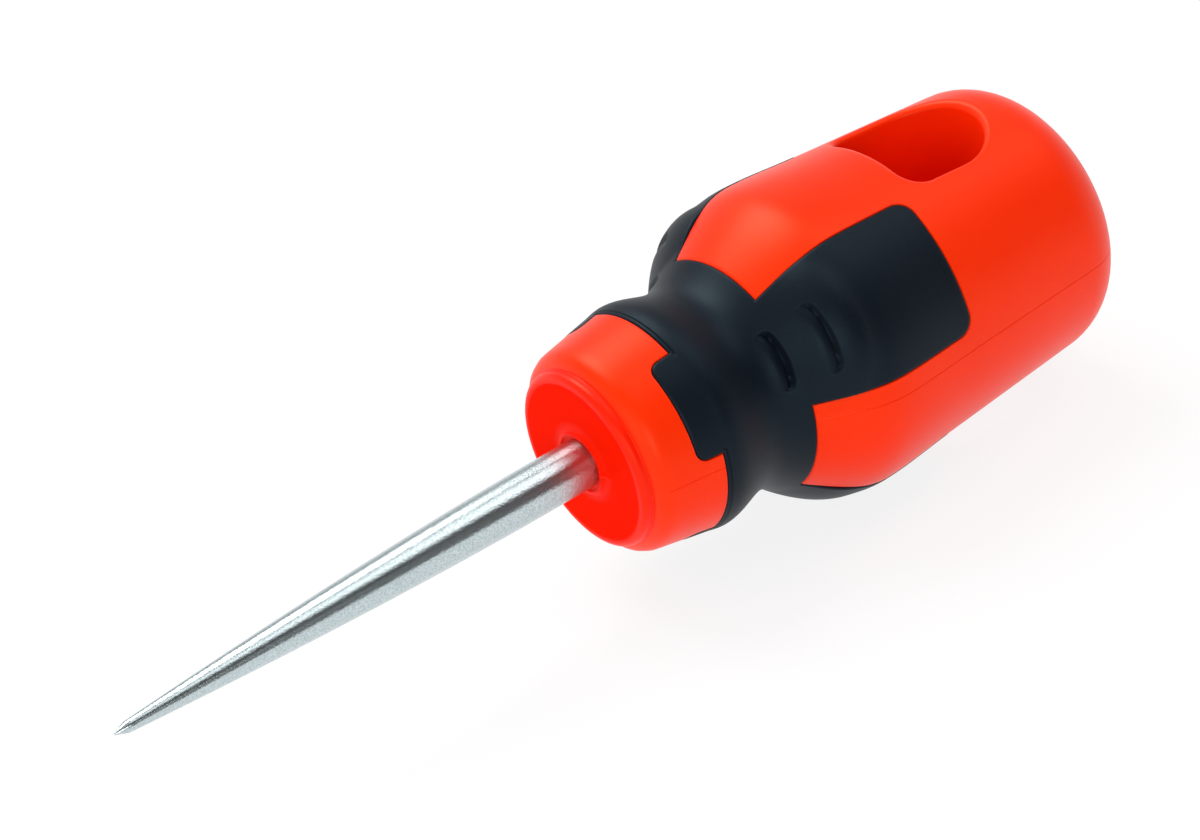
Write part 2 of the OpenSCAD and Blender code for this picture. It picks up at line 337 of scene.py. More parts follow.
def bend_pad_corner(x, angle, middle, half, end_x, direction, radius):
    """Bends the lines round both corners at one end of a pad. direction is 1 where the pad lies behind
    end_x, and -1 where it lies before."""
    fade = radius / 2
    inward, hand = from_pad_edge(x, angle, middle, half)
    behind = direction * (x - end_x)
    a, b = press_corner(radius - inward, radius - behind, radius, fade)
    moved = (inward < radius) & (behind < radius) & (np.maximum(-inward, -behind) < fade)
    new_x = end_x + direction * (radius - b)
    new_turn = half - np.degrees(np.arcsin(np.clip((radius - a) / outline_radius(new_x), -1, 1)))
    return np.where(moved, new_x, x), np.where(moved, middle + hand * new_turn, angle)


print("Corner radii of the tabs and the pads:", tab_corner, "and", pad_corner, "mm")

# %% Bend the lines round the slot
slot_front_centre = slot_front_x + slot_corner
slot_rear_centre = slot_rear_x - slot_half


def straighten_slot_sides(x, angle):
    """Moves the lengthwise lines so that the one at the slot's mouth keeps its distance from the slot's
    middle: inside it the angles shrink or grow by one share, outside it they make up for that."""
    folded = np.degrees(np.arcsin(np.sin(np.radians(angle))))
    near_x = np.clip(x, slot_mouth_front_x, slot_mouth_rear_x)
    mouth = np.degrees(np.arcsin(slot_mouth_half / outline_radius(near_x)))
    size = np.abs(folded)
    outside = mouth + (90 - mouth) * (size - slot_mouth_angle) / (90 - slot_mouth_angle)
    new_size = np.where(size <= slot_mouth_angle, mouth * size / slot_mouth_angle, outside)
    upper = np.cos(np.radians(angle)) >= 0
    new_folded = np.sign(folded) * new_size
    return np.where(upper, new_folded, 180 - new_folded)


def bend_slot_mouth(x, angle):
    """Bends the lines round the slot's mouth: small corners in front, one half circle behind."""
    rear_fade = 2 * slot_fillet
    margin = 3 * slot_fillet
    across = outline_radius(x) * np.sin(np.radians(angle))
    hand = np.sign(across)
    flat = slot_half - slot_corner
    a, b = press_corner(
        np.abs(across) - flat, slot_front_centre - x, slot_corner + slot_fillet, slot_fillet
    )
    c, d = press_corner(np.abs(across), x - slot_rear_centre, slot_mouth_half, rear_fade)
    in_front = x < slot_front_centre
    behind = x > slot_rear_centre
    new_x = np.where(in_front, slot_front_centre - b, np.where(behind, slot_rear_centre + d, x))
    new_across = np.where(in_front, flat + a, np.where(behind, c, np.abs(across))) * hand
    folded = np.degrees(np.arcsin(np.clip(new_across / outline_radius(new_x), -1, 1)))
    near = (np.abs(across) < slot_mouth_half + margin) & (x > slot_mouth_front_x - slot_fillet)
    near = near & (x < slot_mouth_rear_x + margin)
    upper = np.cos(np.radians(angle)) >= 0
    return np.where(near, new_x, x), np.where(near, np.where(upper, folded, 180 - folded), angle)


grid_x = np.repeat(ring_x[:, None], len(line_angle), axis=1)
grid_angle = straighten_slot_sides(grid_x, line_angle[None, :])
grid_x, grid_angle = bend_slot_mouth(grid_x, grid_angle)
for middle, half in pads:
    grid_x, grid_angle = bend_pad_corner(grid_x, grid_angle, middle, half, tab_x, 1, tab_corner)
    grid_x, grid_angle = bend_pad_corner(grid_x, grid_angle, middle, half, pad_rear_x, -1, pad_corner)
grid_r = ring_r[:, None] + outline_radius(grid_x) - outline_radius(ring_x)[:, None]
print("Grid bent by up to", round(float(np.max(np.abs(grid_x - ring_x[:, None]))), 2), "mm")

# %% [markdown]
# ## From grids to meshes
# Every piece below is a few grids of points and the faces between them. A face is written so that its
# corners run anticlockwise seen from outside. The last helper measures the volume that a mesh encloses,
# which is a quick test: a face that points the wrong way, or a hole, would make it wrong.

# %% Helpers that turn grids into a piece
lip_height = 0.3
sharp_turn = 35


def spun(x, r, angle):
    """Points at distance x along the axis and r from it, turned by angle from upwards towards the
    viewer's side."""
    turn = np.radians(angle)
    return np.stack(np.broadcast_arrays(x + lip_height, -r * np.sin(turn), r * np.cos(turn)), axis=-1)


def cells(ids):
    """Faces of a grid of vertex numbers, closed round its second side: rows by columns by corners."""
    right = np.roll(ids, -1, axis=1)
    return np.stack([ids[:-1], right[:-1], right[1:], ids[1:]], axis=-1)


def walls(on_top, top, floor):
    """Upright faces along the border of the cells on_top, between the grids of vertex numbers top and
    floor: first the ones that run round the axis, then the ones that run along it."""
    columns = top.shape[1]
    row, col = np.nonzero(on_top[:-1] != on_top[1:])
    turned_round = ~on_top[row, col]
    here, there = (row + 1, col), (row + 1, (col + 1) % columns)
    ring_walls = np.stack([top[here], top[there], floor[there], floor[here]], axis=1)
    ring_walls[turned_round] = ring_walls[turned_round][:, ::-1]
    row, col = np.nonzero(on_top != np.roll(on_top, -1, axis=1))
    turned_round = ~on_top[row, col]
    here, there = (row, (col + 1) % columns), (row + 1, (col + 1) % columns)
    long_walls = np.stack([top[there], top[here], floor[here], floor[there]], axis=1)
    long_walls[turned_round] = long_walls[turned_round][:, ::-1]
    return np.concatenate([ring_walls, long_walls])


def end_fans(first, last, ids):
    """Triangles that close a grid of vertex numbers at its first and last row, each round a pole."""
    columns = ids.shape[1]
    return np.concatenate([
        np.stack([np.full(columns, first), np.roll(ids[0], -1), ids[0]], axis=1),
        np.stack([np.full(columns, last), ids[-1], np.roll(ids[-1], -1)], axis=1),
    ])


def make_piece(name, points, quads, fans=()):
    """A mesh object from points in millimetres, faces of four and fans of three, smooth but for edges
    that turn by more than sharp_turn."""
    corners = np.concatenate([np.ravel(quads), np.ravel(fans)]).astype(int)
    used, renumbered = np.unique(corners, return_inverse=True)
    faces = renumbered[: np.size(quads)].reshape(-1, 4).tolist()
    faces += renumbered[np.size(quads):].reshape(-1, 3).tolist()
    mesh = bpy.data.meshes.new(name)
    mesh.from_pydata(points[used] * MM, [], faces)
    mesh.shade_smooth()
    mesh.set_sharp_from_angle(angle=np.radians(sharp_turn))
    piece = bpy.data.objects.new(name, mesh)
    bpy.context.collection.objects.link(piece)
    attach(piece, "root")
    return piece


def volume(piece):
    """Volume inside a piece in cubic millimetres: the sum of the signed tetrahedra from the origin to
    each triangle."""
    mesh = piece.data
    mesh.calc_loop_triangles()
    corner = np.empty(len(mesh.loop_triangles) * 3, dtype=np.int32)
    mesh.loop_triangles.foreach_get("vertices", corner)
    place = np.empty(len(mesh.vertices) * 3)
    mesh.vertices.foreach_get("co", place)
    a, b, c = place.reshape(-1, 3)[corner.reshape(-1, 3)].transpose(1, 0, 2)
    return float(np.sum(a * np.cross(b, c)) / 6 / MM**3)


print("Top of the belly at", np.round(spun(belly_x, handle_radius(belly_x), 0), 2).tolist(), "mm")

# %% [markdown]
# ## Edges of the bed
# Nothing moulded has a knife edge: the shell rounds off a little towards the bed of the grip, and the
# grip rounds off more, so that the seam between them is a fine valley. A Bevel modifier would round every
# edge alike. Here both roundings follow from one number at every grid point, the distance from the grip's
# outline, positive inside. Where several places overlap, the greatest distance counts.

# %% Distance from the grip's outline


def from_corner(a, b, radius):
    """Distance inwards from two walls that meet in a corner of that radius, negative outside."""
    rounded = radius - np.hypot(np.maximum(radius - a, 0), np.maximum(radius - b, 0))
    return np.where((a < radius) & (b < radius), rounded, np.minimum(a, b))


def from_outline(x, angle):
    """Distance inwards from the grip's outline: the greatest of those in the collar and in each pad."""
    distance = np.minimum(x - collar_front_x, collar_rear_x - x)
    for middle, half in pads:
        inward = from_pad_edge(x, angle, middle, half)[0]
        front = from_corner(inward, x - tab_x, tab_corner)
        rear = from_corner(inward, pad_rear_x - x, pad_corner)
        distance = np.maximum(distance, np.minimum(front, rear))
    return distance


def edge_drop(inward, radius):
    """Fall of a rounded edge at a distance inwards from it: a quarter circle of that radius."""
    short = np.clip(radius - inward, 0, radius)
    return radius - np.sqrt(radius**2 - short**2)


def ease(t):
    """Smooth step from 0 to 1: three t squared less two t cubed, held at both ends."""
    t = np.clip(t, 0, 1)
    return t * t * (3 - 2 * t)


inside_grip = from_outline(grid_x, grid_angle)
print("Deepest place inside the grip's outline:", round(float(inside_grip.max()), 1), "mm from it")

# %% [markdown]
# ## The shell
# The shell is the thick orange body. Its grid starts inside, where the core lies, comes out at the nose,
# runs along the outside and ends at the tail. Where the grip lies, the cells sink to the bed and get
# upright walls, and at the slot they are left out. One grid for the whole body keeps the highlight
# unbroken from the nose to the tail.

# %% Cells of the grip and of the slot on the grid
grip_bed = 1.8


def between(values, low, high):
    """Which gaps between successive values lie between two of them."""
    middle = (values[:-1] + values[1:]) / 2
    return (middle > low) & (middle < high)


next_angle = np.append(line_angle, line_angle[0] + 360)
gap_middle = (next_angle[:-1] + next_angle[1:]) / 2
collar_rows = between(ring_x, collar_front_x, collar_rear_x)
pad_rows = between(ring_x, tab_x, pad_rear_x)
slot_rows = between(ring_x, slot_mouth_front_x, slot_mouth_rear_x)
in_grip = np.repeat(collar_rows[:, None], len(line_angle), axis=1)
for middle, half in pads:
    in_pad = np.abs(nearest_turn(gap_middle - middle)) < half
    in_grip |= pad_rows[:, None] & in_pad[None, :]
gap_fold = np.abs(np.degrees(np.arcsin(np.sin(np.radians(gap_middle)))))
in_slot = slot_rows[:, None] & (gap_fold < slot_mouth_angle)[None, :]
print("Cells in the grip:", int(in_grip.sum()), "and in the slot:", int(in_slot.sum()))

# %% [markdown]
# The hanging slot goes right through the tail. A tube joins its two mouths: first a fillet, in which the
# surface drops by a quarter circle, and then the straight wall. A boolean would cut such a hole too, but
# a fillet is hard to add to its edge on a curved surface. The two halves of the mould met half way down
# the wall and left a fine line there, so one ring of the tube is pushed out a little.

# %% The border of the slot's mouths on the grid
first_row, last_row = np.nonzero(slot_rows)[0][[0, -1]]
last_row += 1
half_count = len(half_lines) - 1
first_col = int(np.argmin(np.abs(half_lines + slot_mouth_angle)))
last_col = int(np.argmin(np.abs(half_lines - slot_mouth_angle)))
rows_down = np.arange(first_row, last_row)
cols_up = np.arange(first_col, last_col)
front_side, rear_side = np.full(len(cols_up), first_row), np.full(len(cols_up), last_row)
left_side, right_side = np.full(len(rows_down), first_col), np.full(len(rows_down), last_col)
loop_row = np.concatenate([front_side, rows_down, rear_side, rows_down[::-1] + 1])
loop_col = np.concatenate([cols_up, right_side, cols_up[::-1] + 1, left_side])
lower_col = 2 * half_count - loop_col
print("The slot's mouth has", len(loop_row), "points")

# %% The slot's tube between its two mouths
fillet_steps = 10
wall_steps = 12
parting_depth = 0.05
parting_share = 0.005


def slot_outward(x, y):
    """Unit direction out of the slot's outline: off a corner's centre, or straight off a side or the
    front."""
    along = np.minimum(x - slot_front_centre, 0) + np.maximum(x - slot_rear_centre, 0)
    flat = np.where(x < slot_front_centre, slot_half - slot_corner, 0)
    across = np.sign(y) * np.maximum(np.abs(y) - flat, 0)
    size = np.hypot(along, across)
    return along / size, across / size


mouth_x = grid_x[loop_row, loop_col]
mouth_y = -grid_r[loop_row, loop_col] * np.sin(np.radians(grid_angle[loop_row, loop_col]))
out_x, out_y = slot_outward(mouth_x, mouth_y)
fillet_turn = np.radians(np.linspace(0, 90, fillet_steps + 1))[1:, None]
moved_in = slot_fillet * np.sin(fillet_turn)
fillet_drop = slot_fillet * (1 - np.cos(fillet_turn))
fillet_x = mouth_x - moved_in * out_x
fillet_y = mouth_y - moved_in * out_y
fillet_z = np.sqrt(outline_radius(fillet_x) ** 2 - fillet_y**2) - fillet_drop
upper_tube = np.stack([fillet_x + lip_height, fillet_y, fillet_z], axis=-1)
half_wall = np.linspace(1, parting_share, wall_steps)[1:]
wall_share = np.concatenate([half_wall, [0], -half_wall[::-1]])[:, None]
pushed = np.where(wall_share == 0, parting_depth, 0)
wall_tube = np.stack([
    upper_tube[-1:, :, 0] + pushed * out_x,
    upper_tube[-1:, :, 1] + pushed * out_y,
    upper_tube[-1:, :, 2] * wall_share,
], axis=-1)
lower_tube = upper_tube[::-1] * np.array([1, 1, -1])
tube = np.concatenate([upper_tube, wall_tube, lower_tube])
print("Slot tube:", tube.shape[0], "rings of", tube.shape[1], "points")

# %% [markdown]
# Inside the shell lies the core, a neck that swells into a body with a round rear edge. Nobody sees this
# side, so a few points are enough.

# %% The core's rear, which is also the shell's inside
core_radius = 10.0
core_length = 35.5
core_edge = 2.0
swell_x = 18.0
swell_end_x = 22.5
hidden_stride = 6
core_rear = arc(core_length - core_edge, core_radius - core_edge, core_edge, 0, 90)[::hidden_stride]
core_side = np.array([[swell_end_x, core_radius], [swell_x, neck_radius]])
inside = np.concatenate([core_rear, core_side])
print("The shell's inside has", len(inside), "rings")

# %% [markdown]
# The mould's parting plane leaves a fine line along both sides of the handle. Where the plastic met
# behind the upper tabs there is a fainter weld line. Both are drawn as small grooves in the surface, with
# a V for a section, because a line in the colour alone would not catch the light.

# %% Fine lines and rounded edges on the shell's outside
bed_edge = 0.14
parting_half = 0.06
weld_x = 21.2
weld_depth = 0.02
weld_half = 0.12
weld_turn = 12.0
weld_slant = 0.043


def parting_line(r, angle):
    """Depth of the mould's parting line: a small V in the level plane through the axis."""
    return parting_depth * np.maximum(1 - np.abs(r * np.cos(np.radians(angle))) / parting_half, 0)


def weld_line(x, angle):
    """Depth of the weld line: a shallow V across the upper window at weld_x, which moves forwards by
    weld_slant for each degree towards the viewer's side."""
    off = np.abs(x - weld_x + weld_slant * angle)
    return weld_depth * np.maximum(1 - off / weld_half, 0) * (np.abs(angle) < weld_turn)


fine_lines = parting_line(grid_r, grid_angle) + weld_line(grid_x, grid_angle)
shell_drop = edge_drop(-inside_grip, bed_edge) + fine_lines
print("Deepest drop on the shell's outside:", round(float(shell_drop.max()), 2), "mm")

# %% [markdown]
# Now the shell is put together: inside, outside, bed and tube share their border points, so the mesh is
# closed without any merging of doubles.

# %% The shell as one closed mesh
inside_points = spun(inside[:, :1], inside[:, 1:], line_angle[None, :])
outside_points = spun(grid_x[:-1], (grid_r - shell_drop)[:-1], grid_angle[:-1])
bed_points = spun(grid_x[:-1], grid_r[:-1] - grip_bed, grid_angle[:-1])
poles = np.array([[core_length + lip_height, 0, 0], [handle_length + lip_height, 0, 0]])
shell_parts = (inside_points, outside_points, bed_points, tube, poles)
shell_points = np.concatenate([part.reshape(-1, 3) for part in shell_parts])
sizes = [part[..., 0].size for part in shell_parts[:-1]]
starts = np.concatenate([[0], np.cumsum(sizes)])
skin_ids = np.arange(starts[2]).reshape(-1, len(line_angle))
outside_ids = skin_ids[len(inside):]
bed_ids = outside_ids + sizes[1]
inner_pole, tail_pole = starts[4], starts[4] + 1

on_top = ~in_grip[: len(outside_ids) - 1]
open_cells = in_slot[: len(outside_ids) - 1]
tube_ids = np.concatenate([
    outside_ids[loop_row, loop_col][None],
    starts[3] + np.arange(sizes[3]).reshape(tube.shape[:2]),
    outside_ids[loop_row, lower_col][None],
])
shell_faces = np.concatenate([
    cells(outside_ids)[on_top & ~open_cells],
    cells(bed_ids)[~on_top],
    cells(skin_ids[: len(inside) + 1]).reshape(-1, 4),
    walls(on_top, outside_ids, bed_ids),
    cells(tube_ids).reshape(-1, 4),
])
shell = make_piece("orange_shell", shell_points, shell_faces, end_fans(inner_pole, tail_pole, skin_ids))
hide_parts("handle_shell")
print("Shell:", len(shell.data.polygons), "faces,", round(volume(shell)), "mm3")

# %% [markdown]
# ## The soft grip
# The grip is a collar with three pads behind it and three tabs before it, all one piece. It is flush with
# the shell except that each pad swells into a cushion for a finger, on the flank behind the waist. The
# lower edge of the handle in the photograph shows that the bottom pad swells about half as much as a side
# pad. A cushion is round in section but about an axis of its own, so that it is high in the middle of its
# pad and low at the sides. Sculpting could give such a swelling, but a height above the shell at every
# grid point can be measured and changed.

# %% Cushions
cushion_x = 21.8
cushion_half_length = 3.9
cushion_reach = 1.5
side_cushion_rise = 1.1
bottom_cushion_rise = 0.62
cushion_rises = (side_cushion_rise, side_cushion_rise, bottom_cushion_rise)
cushion_side_share = 0.25
cushion_blend = 0.15
far_below = -1.0


def cushion_height(x, angle):
    """Height of the cushions above the shell. In the middle of a pad it is a parabola along the handle.
    Round the pad it is a circle about a shifted axis, which passes through the middle's height and the
    sides' height. The foot runs out smoothly: half of the height plus the root of its square and the
    blend's square."""
    base = outline_radius(x)
    along = np.clip((x - cushion_x) / cushion_half_length, -cushion_reach, cushion_reach)
    height = np.full_like(x, far_below)
    for (middle, half), rise in zip(pads, cushion_rises):
        peak = float(handle_radius(cushion_x)) + rise
        flank = peak - rise + cushion_side_share * rise
        shift = (peak**2 - flank**2) / 2 / (peak - flank * np.cos(np.radians(half)))
        turn = np.radians(nearest_turn(angle - middle))
        section = base + rise * (1 - along**2) - shift
        chord = np.sqrt(np.maximum(section**2 - (shift * np.sin(turn)) ** 2, 0))
        here = shift * np.cos(turn) + chord - base
        height = np.where(np.abs(turn) < np.radians(half), np.maximum(height, here), height)
    return (height + np.hypot(height, cushion_blend)) / 2


cushions = cushion_height(grid_x, grid_angle)
print("Highest cushion:", round(float(cushions.max()), 2), "mm above the shell")

# %% [markdown]
# Two finger grooves cross each side pad. Each has a crisp rear wall and a floor that runs out forwards.
# The collar starts with a narrow step. They are depths below the cushions, worked out at every grid
# point, so that they stay in one surface with the pad.

# %% Finger grooves and the collar's front groove
groove_wall = 0.22
groove_floor_power = 1.5
groove_bow = 0.2
groove_front_length = 6.4
groove_front_depth = 0.7
groove_rear_length = 7.6
groove_rear_depth = 0.62
grooves = (
    (groove_front_x, groove_front_half_width, groove_front_length, groove_front_depth),
    (groove_rear_x, groove_rear_half_width, groove_rear_length, groove_rear_depth),
)
ring_groove_depth = 0.1
ring_groove_half = 0.1


def groove_depth(x, angle):
    """Depth of the finger grooves. Each is a bar with round ends, bowed so that its ends lie a little
    further forward. From its edge the wall falls by a smooth step, and the floor rises again towards the
    front edge by a power of the distance."""
    depth = np.zeros_like(x)
    surface = outline_radius(x) + cushions
    for middle in (groove_at, -groove_at):
        round_arc = np.abs(np.radians(nearest_turn(angle - middle))) * surface
        for groove_x, half_width, length, deepest in grooves:
            along = x - groove_x + groove_bow * np.minimum(2 * round_arc / length, 1) ** 2
            past_end = np.maximum(round_arc - (length / 2 - half_width), 0)
            within = half_width - np.hypot(along, past_end)
            floor_share = np.clip((along + half_width) / (2 * half_width - groove_wall), 0, 1)
            fall = ease(within / groove_wall) * floor_share**groove_floor_power
            depth = np.maximum(depth, deepest * fall)
    return depth


def ring_groove(x):
    """Depth of the fine groove behind the collar's front edge: a small V at a set distance from the
    grip's outline."""
    on_collar = (x > collar_front_x) & (x < rim_x)
    fall = np.maximum(1 - np.abs(inside_grip - ring_groove_at) / ring_groove_half, 0)
    return ring_groove_depth * fall * on_collar


grip_proud = 0.04
grip_edge = 0.3
grip_height = grip_proud + cushions - edge_drop(inside_grip, grip_edge)
grip_height = grip_height - groove_depth(grid_x, grid_angle) - ring_groove(grid_x)
lowest_and_highest = np.quantile(grip_height[:-1][in_grip], (0, 1))
print("Grip between", np.round(lowest_and_highest, 2), "mm above the shell")

# %% [markdown]
# The grip's mesh is its top surface, the same cells again at the depth of the bed, and upright walls round
# the border. Solidify would thicken the top too, but its underside would follow the cushions and grooves
# instead of the bed.

# %% The grip as one closed mesh
grip_points = np.concatenate([
    spun(grid_x, grid_r + grip_height, grid_angle).reshape(-1, 3),
    spun(grid_x, grid_r - grip_bed, grid_angle).reshape(-1, 3),
])
grip_top = np.arange(grid_x.size).reshape(grid_x.shape)
grip_under = grip_top + grid_x.size
grip_faces = np.concatenate([
    cells(grip_top)[in_grip],
    cells(grip_under)[in_grip][:, ::-1],
    walls(in_grip, grip_top, grip_under),
])
grip = make_piece("soft_grip", grip_points, grip_faces)
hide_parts("grip")
print("Grip:", len(grip.data.polygons), "faces,", round(volume(grip)), "mm3")

# %% [markdown]
# ## The core
# The core shows only its disc and the small lip round the blade, with a narrow valley between the disc
# and the shell's nose. It is a turned shape, so it is a profile carried round the axis. A Screw modifier
# would carry it round too, but plain arrays let the next step raise single points.

# %% A turned piece from a profile
turned_columns = 360
turned_angle = np.arange(turned_columns) * 360 / turned_columns


def turned(name, profile, raised=0.0):
    """Carries a profile of [x, r] points round the axis, closed by a pole at both ends. raised moves the
    points forwards along the axis."""
    body = spun(profile[1:-1, :1] - raised, profile[1:-1, 1:], turned_angle[None, :])
    ends = spun(profile[[0, -1], 0], profile[[0, -1], 1], 0)
    points = np.concatenate([body.reshape(-1, 3), ends])
    ids = np.arange(body[..., 0].size).reshape(body.shape[:2])
    fans = end_fans(len(points) - 2, len(points) - 1, ids)
    return make_piece(name, points, cells(ids).reshape(-1, 4), fans)


print("Turned pieces have", turned_columns, "columns")

# %% The core's profile with its disc and lip
disc_radius = 9.3
disc_edge = 0.7
valley_round = 0.22
lip_round = 0.2
lip_radius = 3.1
lip_foot_radius = 3.75
blade_radius = 2.5
gap_radius = 2.62
tang_radius = 2.3
tang_length = 31.0
tang_end_x = tang_length - lip_height
foot_steps = 12
face_steps = 24
small_stride = 4
rim_stride = 3

foot = np.linspace(0, 1, foot_steps)[1:]
lip_side_x = lip_round - lip_height
lip_foot_start = lip_radius + lip_round
lip_foot = np.stack([
    lip_side_x * (1 - foot) ** 2,
    lip_foot_start + (lip_foot_radius - lip_foot_start) * foot,
], axis=1)
face_r = np.linspace(lip_foot_radius, disc_radius - disc_edge, face_steps)[1:-1]

# The valley's arc touches the disc's side and the nose's rounded edge, whose centre is one nose_edge away.
nose_centre_x = nose_face_x + nose_edge
nose_centre_r = nose_arc[0, 1]
valley_r = disc_radius + valley_round
valley_reach = nose_edge + valley_round
valley_x = nose_centre_x - np.sqrt(valley_reach**2 - (valley_r - nose_centre_r) ** 2)
valley_turn = np.degrees(np.arctan2(nose_centre_r - valley_r, nose_centre_x - valley_x))
valley = arc(valley_x, valley_r, valley_round, -90, valley_turn)[::small_stride]
under_valley = nose_arc[nose_arc[:, 1] < valley[-1, 1]][::-1]
core_profile = np.concatenate([
    [[tang_end_x, 0], [tang_end_x, tang_radius], [0, tang_radius], [0, gap_radius]],
    arc(lip_side_x, lip_radius, lip_round, 270, 90)[::small_stride],
    lip_foot,
    np.stack([np.zeros_like(face_r), face_r], axis=1),
    arc(disc_edge, disc_radius - disc_edge, disc_edge, 180, 90)[::rim_stride],
    valley,
    under_valley,
    [[nose_face_x, neck_radius], [swell_x, neck_radius], [swell_end_x, core_radius]],
    core_rear[::-1],
    [[core_length, 0]],
])
print("The core's profile has", len(core_profile), "points; its valley lies at", round(valley_x, 2), "mm")

# %% [markdown]
# On the side towards the viewer a short ridge runs from the lip over the disc, where the mould's halves
# met. It could be a small piece of its own, but raised in the disc's own surface it has no seam. It is
# a height over the disc's face: a bell across its line, faded out along it.

# %% Ridge on the disc, and the core
ridge_height = 0.24
ridge_half = 0.16
ridge_end_radius = 4.7


def mould_ridge(profile):
    """Height of the ridge at each point of a turned profile: a bell in the distance across it, eased out
    along it."""
    x, r = profile[1:-1, :1], profile[1:-1, 1:]
    across = r * np.cos(np.radians(turned_angle[None, :])) / ridge_half
    towards_viewer = np.sin(np.radians(turned_angle[None, :])) > 0
    along = ease((ridge_end_radius - r) / (ridge_end_radius - lip_radius)) * (r > lip_radius) * (x <= 0)
    return ridge_height * np.exp(-across**2) * along * towards_viewer


core = turned("moulded_core", core_profile, mould_ridge(core_profile))
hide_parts("handle_core")
print("Core:", len(core.data.polygons), "faces,", round(volume(core)), "mm3")

# %% [markdown]
# ## The blade
# The blade is a round bar that tapers to a short ground point. A cone would be too straight: the radius
# falls slowly at first and then faster, by a power of the distance from the shank. The power follows from
# the radius half way along the taper.

# %% The blade
blade_length = 53.3
shank_length = 5.0
taper_mid_radius = 1.91
point_length = 1.3
point_radius = 0.58
point_end_radius = 0.1
taper_length = blade_length - point_length - shank_length
taper_power = np.log((blade_radius - taper_mid_radius) / (blade_radius - point_radius)) / np.log(0.5)

along = np.linspace(0, 1, 2 * fine_samples)
taper_radius_at = blade_radius - (blade_radius - point_radius) * (1 - along) ** taper_power
taper = np.stack([taper_length * (along - 1) - shank_length, taper_radius_at], axis=1)
tang = [[lip_height, tang_radius], [tang_length, tang_radius], [tang_length, 0]]
blade_profile = np.concatenate([
    [[-blade_length, 0], [-blade_length, point_end_radius]],
    taper,
    [[lip_height, blade_radius]],
    tang,
]) - [lip_height, 0]
blade = turned("steel_blade", blade_profile)
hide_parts("blade")
print("Blade:", len(blade.data.polygons), "faces,", round(volume(blade)), "mm3")

# %% [markdown]
# ## Materials
# Every finish is built from a few nodes on a Principled shader. Patterns read Object coordinates, which
# are metres here, so a pattern's scale is one over its real size.

# %% Helpers for materials


def linear(hex_colour):
    """A colour written as sRGB hex, turned to the linear values that shaders use: a straight line near
    black, and a power of 2.4 above it."""
    channel = np.array([int(hex_colour[i:i + 2], 16) for i in (1, 3, 5)]) / 255
    straight = np.where(channel <= 0.04045, channel / 12.92, ((channel + 0.055) / 1.055) ** 2.4)
    return (*straight, 1.0)


def grey(level):
    """A grey of a linear level."""
    return (level, level, level, 1.0)


def add(tree, kind, settings=None, **inputs):
    """Adds a node, sets its own settings, and sets or links its inputs, named with _ for a space."""
    node = tree.nodes.new(kind)
    for name, value in (settings or {}).items():
        setattr(node, name, value)
    for name, value in inputs.items():
        socket = node.inputs[name.replace("_", " ")]
        if isinstance(value, bpy.types.NodeSocket):
            tree.links.new(value, socket)
        else:
            socket.default_value = value
    return node


def set_stops(ramp, colours):
    """Gives a colour ramp its stops: a colour at each place, of which the first is 0 and the last 1."""
    stops = ramp.color_ramp.elements
    for place in list(colours)[1:-1]:
        stops.new(place)
    for stop, colour in zip(stops, colours.values()):
        stop.color = colour


def new_material(name, mesh):
    """An empty node material on a mesh. Gives back its node tree."""
    material = bpy.data.materials.new(name)
    material.use_nodes = True
    tree = material.node_tree
    tree.nodes.clear()
    mesh.materials.append(material)
    return tree


print("Half of full white in sRGB is linear", np.round(linear("#808080"), 3).tolist())

# %% [markdown]
# ## Orange plastic
# Shell and core are injection-moulded polypropylene in two slightly different oranges, from a lightly
# eroded mould. The disc at the nose looks matt but for its rim and the lip round the blade. A second
# material on its face would have a hard border, so the strength of the highlight is a ramp over the
# distance from the axis instead.

# %% Injection-moulded polypropylene for the shell and the core
mottle_size = 6.0
# Such a mould's grain would be about 0.03 mm wide. It is drawn coarser, so that it shows.
mould_grain_size = 0.2
mould_grain_depth = 0.02
across_the_axis = (0, 1, 1)
shine_reach = 10.0
shell_shine = {0.0: 0.26, 1.0: 0.26}
core_shine = {
    0.0: 0.05, 0.34: 0.05, 0.44: 0.003, 0.83: 0.003, 0.9: 0.28, 0.93: 0.28, 0.96: 0.06, 1.0: 0.06,
}


